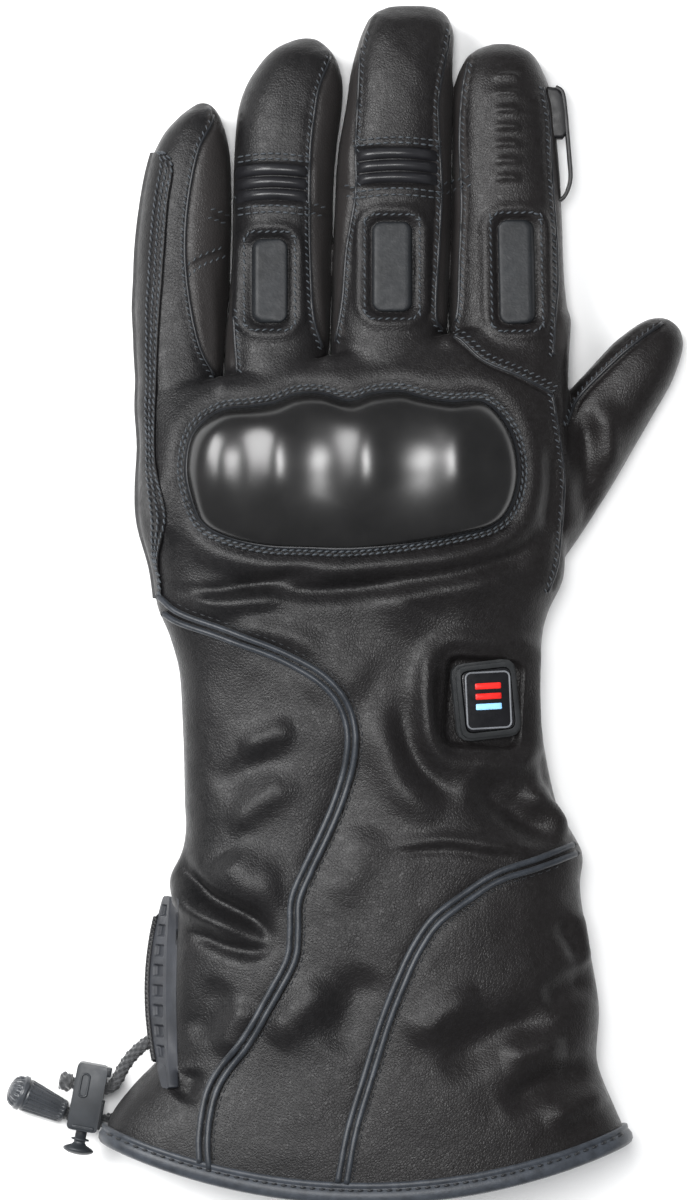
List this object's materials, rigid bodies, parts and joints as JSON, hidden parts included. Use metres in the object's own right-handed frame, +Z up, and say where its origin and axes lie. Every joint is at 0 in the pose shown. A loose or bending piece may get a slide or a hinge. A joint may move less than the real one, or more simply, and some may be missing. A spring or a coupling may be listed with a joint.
{
  "type": "heated gauntlet glove",
  "caption": "Padded black leather riding glove with a hard knuckle guard, a heat control on the wrist and a long flared cuff closed by a drawcord.",
  "frame": {"origin": "on the surface the glove lies on, under the middle of the palm", "axes": "+X towards the thumb side, +Y from the cuff to the fingertips, +Z up from the palm to the back of the hand"},
  "size_m": [0.1948, 0.3415, 0.0483],
  "materials": {
    "leather": "soft grained, low sheen",
    "trim_leather": "smooth, low sheen",
    "guard_plastic": "semi-gloss",
    "grey_rubber": "matt",
    "black_rubber": "satin",
    "button_plastic": "gloss",
    "lock_plastic": "satin",
    "cord_fabric": "braided"
  },
  "bodies": {
    "glove": {"palm_panel": "leather", "back_panel": "leather", "outer_cuff_panel": "leather", "inner_cuff_panel": "leather", "little_finger": "leather", "ring_finger": "leather", "middle_finger": "leather", "index_finger": "leather", "thumb": "leather", "knuckle_guard": "guard_plastic", "guard_frame": "trim_leather", "ring_pad": "leather", "middle_pad": "leather", "index_pad": "leather", "ring_flex_panel": "leather", "middle_flex_panel": "leather", "side_band": "trim_leather", "outer_piping": "trim_leather", "inner_piping": "trim_leather", "hem_binding": "trim_leather", "side_tab": "grey_rubber", "visor_wiper": "black_rubber", "control_bezel": "black_rubber", "cord_lock": "lock_plastic", "cord_knot": "cord_fabric", "cord_through_lock": "cord_fabric", "cord_to_bell": "cord_fabric", "cord_bell": "lock_plastic"},
    "button": {"control_button": "button_plastic"},
    "lock_plunger": {"cord_lock_plunger": "lock_plastic"}
  },
  "joints": [
    {"name": "button_press", "type": "slide", "parent": "glove", "child": "button", "axis": [-0.2924, 0, -0.9563], "range_m": [0, 0.0008], "stiffness_N_per_m": 1500, "springref_m": -0.0004},
    {"name": "lock_plunger_slide", "type": "slide", "parent": "glove", "child": "lock_plunger", "axis": [0.1822, 0.9833, 0], "range_m": [0, 0.0022], "stiffness_N_per_m": 900, "springref_m": -0.002}
  ]
}
